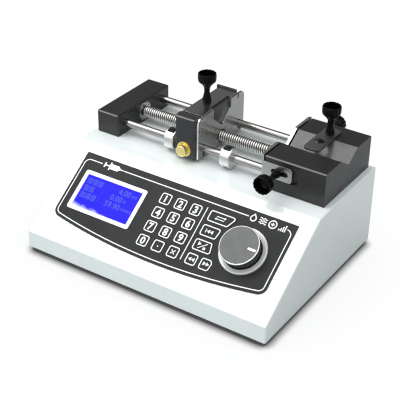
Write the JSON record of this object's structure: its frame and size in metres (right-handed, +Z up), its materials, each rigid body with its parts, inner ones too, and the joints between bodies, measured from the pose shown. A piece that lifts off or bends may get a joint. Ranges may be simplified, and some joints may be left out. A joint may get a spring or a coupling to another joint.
{
  "type": "syringe pump",
  "caption": "Bench syringe pump: sloped control casing with a syringe cradle on top and a screw-driven carriage that pushes the plunger.",
  "frame": {"origin": "on the bench, under the middle of the machine's overall outline", "axes": "+X from the drive end to the syringe end, +Y from the keypad to the back, +Z up"},
  "size_m": [0.28, 0.236, 0.1695],
  "materials": {
    "casing": "gloss white powder coat",
    "steel_sheet": "zinc-plated sheet",
    "rubber": "matt",
    "fastener": "zinc-plated",
    "panel_film": "satin printed film",
    "bezel": "gloss",
    "display": "glossy, backlit blue",
    "knob_rubber": "knurled",
    "knob_face": "satin spun with bright rim",
    "knob_trim": "bright ring",
    "circuit": "circuit board",
    "supply": "perforated sheet",
    "moulding": "black nylon",
    "motor": "lacquered",
    "pulley": "turned",
    "belt": "toothed belt",
    "screw_steel": "rolled thread",
    "bearing": "ground",
    "rod_steel": "ground and polished",
    "block": "black anodised, fine bead blast",
    "bracket": "dark nickel sheet",
    "clamp": "dark anodised",
    "stud": "plain",
    "thumb": "black nylon",
    "brass": "turned and polished",
    "bush": "sintered bronze",
    "nut": "acetal",
    "spring": "spring wire",
    "collar": "clear anodised"
  },
  "bodies": {
    "frame": {"housing_shell": "casing", "base_plate": "steel_sheet", "rubber_feet": "rubber", "machine_screws": "fastener", "control_panel": "panel_film", "display_bezel": "bezel", "display_module": "display", "knob_ring": "knob_trim", "control_board": "circuit", "power_supply": "supply", "power_inlet": "moulding", "stepper_motor": "motor", "motor_bracket": "steel_sheet", "drive_belt": "belt", "left_end_block": "block", "right_end_block": "block", "screw_bearings": "bearing", "guide_rods": "rod_steel"},
    "jog_knob": {"rotary_knob": "knob_rubber", "knob_cap": "knob_face", "encoder_shaft": "stud"},
    "motor_rotor": {"motor_pulley": "pulley"},
    "screw": {"lead_screw": "screw_steel", "screw_pulley": "pulley"},
    "carriage": {"carriage_body": "block", "rod_bushes": "bush", "release_bushing": "brass", "return_spring": "spring"},
    "plunger_bracket": {"plunger_bracket": "bracket"},
    "plunger_thumbscrew": {"plunger_thumbscrew": "thumb"},
    "release": {"release_button": "brass", "half_nut": "nut"},
    "left_collar": {"left_stop_collar": "collar", "left_collar_screw": "fastener"},
    "right_collar": {"right_stop_collar": "collar", "right_collar_screw": "fastener"},
    "barrel_bracket": {"barrel_bracket": "bracket"},
    "front_thumbscrew": {"front_thumbscrew": "thumb"},
    "rear_thumbscrew": {"rear_thumbscrew": "thumb"},
    "clamp_stud": {"clamp_stud": "stud"},
    "clamp_knob": {"clamp_knob": "thumb"},
    "clamp_plate": {"clamp_plate": "clamp"},
    "power_rocker": {"power_rocker": "moulding"},
    "key_0": {"key_0": "panel_film"},
    "key_1": {"key_1": "panel_film"},
    "key_2": {"key_2": "panel_film"},
    "key_3": {"key_3": "panel_film"},
    "key_4": {"key_4": "panel_film"},
    "key_5": {"key_5": "panel_film"},
    "key_6": {"key_6": "panel_film"},
    "key_7": {"key_7": "panel_film"},
    "key_8": {"key_8": "panel_film"},
    "key_9": {"key_9": "panel_film"},
    "key_point": {"key_point": "panel_film"},
    "key_clear": {"key_clear": "panel_film"},
    "key_mode": {"key_mode": "panel_film"},
    "key_return": {"key_return": "panel_film"},
    "key_run_stop": {"key_run_stop": "panel_film"},
    "key_back": {"key_back": "panel_film"},
    "key_forward": {"key_forward": "panel_film"}
  },
  "joints": [
    {"name": "lead_screw_spin", "type": "hinge", "parent": "frame", "child": "screw", "pos_m": [0, 0.04075, 0.102], "axis": [1, 0, 0], "range_deg": [-3052.81, 748.81]},
    {"name": "carriage_slide", "type": "slide", "parent": "frame", "child": "carriage", "axis": [1, 0, 0], "range_m": [-0.0052, 0.0212]},
    {"name": "motor_spin", "type": "hinge", "parent": "frame", "child": "motor_rotor", "pos_m": [-0.11, 0.04075, 0.045], "axis": [1, 0, 0], "range_deg": [-3052.81, 748.81]},
    {"name": "plunger_bracket_slide", "type": "slide", "parent": "carriage", "child": "plunger_bracket", "axis": [1, 0, 0], "range_m": [0, 0.0025]},
    {"name": "plunger_thumbscrew_turn", "type": "hinge", "parent": "carriage", "child": "plunger_thumbscrew", "pos_m": [-0.0263, 0.036, 0.139], "axis": [0, 0, 1], "range_deg": [0, 1080]},
    {"name": "release_push", "type": "slide", "parent": "carriage", "child": "release", "axis": [0, 1, 0], "range_m": [0, 0.004], "stiffness_N_per_m": 500, "springref_m": -0.002, "deforming": ["return_spring"]},
    {"name": "left_collar_slide", "type": "slide", "parent": "frame", "child": "left_collar", "axis": [1, 0, 0], "range_m": [-0.05, 0]},
    {"name": "right_collar_slide", "type": "slide", "parent": "frame", "child": "right_collar", "axis": [1, 0, 0], "range_m": [0, 0.0305]},
    {"name": "barrel_bracket_slide", "type": "slide", "parent": "frame", "child": "barrel_bracket", "axis": [1, 0, 0], "range_m": [-0.0078, 0.0014]},
    {"name": "front_thumbscrew_turn", "type": "hinge", "parent": "frame", "child": "front_thumbscrew", "pos_m": [0.0823, -0.006, 0.111], "axis": [0, -1, 0], "range_deg": [0, 1080]},
    {"name": "rear_thumbscrew_turn", "type": "hinge", "parent": "frame", "child": "rear_thumbscrew", "pos_m": [0.0823, 0.0875, 0.111], "axis": [0, 1, 0], "range_deg": [0, 1080]},
    {"name": "clamp_stud_lift", "type": "slide", "parent": "frame", "child": "clamp_stud", "axis": [0, 0, 1], "range_m": [0, 0.022]},
    {"name": "clamp_knob_turn", "type": "hinge", "parent": "clamp_stud", "child": "clamp_knob", "pos_m": [0.0999, 0.0633, 0.128], "axis": [0, 0, 1], "range_deg": [-0.01, 9900.01]},
    {"name": "clamp_plate_swing", "type": "hinge", "parent": "clamp_stud", "child": "clamp_plate", "pos_m": [0.0999, 0.0633, 0.1255], "axis": [0, 0, 1], "range_deg": [-35, 100]},
    {"name": "jog_knob_turn", "type": "hinge", "parent": "frame", "child": "jog_knob", "pos_m": [0.0855, -0.07406, 0.06382], "axis": [0, -0.5746, 0.8184], "continuous": true},
    {"name": "power_rocker_tilt", "type": "hinge", "parent": "frame", "child": "power_rocker", "pos_m": [0.105, 0.089, 0.044], "axis": [1, 0, 0], "range_deg": [0, 23]},
    {"name": "key_0_press", "type": "slide", "parent": "frame", "child": "key_0", "axis": [0, 0.5746, -0.8184], "range_m": [0, 0.0004]},
    {"name": "key_1_press", "type": "slide", "parent": "frame", "child": "key_1", "axis": [0, 0.5746, -0.8184], "range_m": [0, 0.0004]},
    {"name": "key_2_press", "type": "slide", "parent": "frame", "child": "key_2", "axis": [0, 0.5746, -0.8184], "range_m": [0, 0.0004]},
    {"name": "key_3_press", "type": "slide", "parent": "frame", "child": "key_3", "axis": [0, 0.5746, -0.8184], "range_m": [0, 0.0004]},
    {"name": "key_4_press", "type": "slide", "parent": "frame", "child": "key_4", "axis": [0, 0.5746, -0.8184], "range_m": [0, 0.0004]},
    {"name": "key_5_press", "type": "slide", "parent": "frame", "child": "key_5", "axis": [0, 0.5746, -0.8184], "range_m": [0, 0.0004]},
    {"name": "key_6_press", "type": "slide", "parent": "frame", "child": "key_6", "axis": [0, 0.5746, -0.8184], "range_m": [0, 0.0004]},
    {"name": "key_7_press", "type": "slide", "parent": "frame", "child": "key_7", "axis": [0, 0.5746, -0.8184], "range_m": [0, 0.0004]},
    {"name": "key_8_press", "type": "slide", "parent": "frame", "child": "key_8", "axis": [0, 0.5746, -0.8184], "range_m": [0, 0.0004]},
    {"name": "key_9_press", "type": "slide", "parent": "frame", "child": "key_9", "axis": [0, 0.5746, -0.8184], "range_m": [0, 0.0004]},
    {"name": "key_point_press", "type": "slide", "parent": "frame", "child": "key_point", "axis": [0, 0.5746, -0.8184], "range_m": [0, 0.0004]},
    {"name": "key_clear_press", "type": "slide", "parent": "frame", "child": "key_clear", "axis": [0, 0.5746, -0.8184], "range_m": [0, 0.0004]},
    {"name": "key_mode_press", "type": "slide", "parent": "frame", "child": "key_mode", "axis": [0, 0.5746, -0.8184], "range_m": [0, 0.0004]},
    {"name": "key_return_press", "type": "slide", "parent": "frame", "child": "key_return", "axis": [0, 0.5746, -0.8184], "range_m": [0, 0.0004]},
    {"name": "key_run_stop_press", "type": "slide", "parent": "frame", "child": "key_run_stop", "axis": [0, 0.5746, -0.8184], "range_m": [0, 0.0004]},
    {"name": "key_back_press", "type": "slide", "parent": "frame", "child": "key_back", "axis": [0, 0.5746, -0.8184], "range_m": [0, 0.0004]},
    {"name": "key_forward_press", "type": "slide", "parent": "frame", "child": "key_forward", "axis": [0, 0.5746, -0.8184], "range_m": [0, 0.0004]}
  ],
  "couplings": [
    {"joint": "lead_screw_spin", "follows": "carriage_slide", "rad_per_m": -2513.3},
    {"joint": "motor_spin", "follows": "carriage_slide", "rad_per_m": -2513.3},
    {"joint": "clamp_knob_turn", "follows": "clamp_stud_lift", "rad_per_m": 7854}
  ]
}
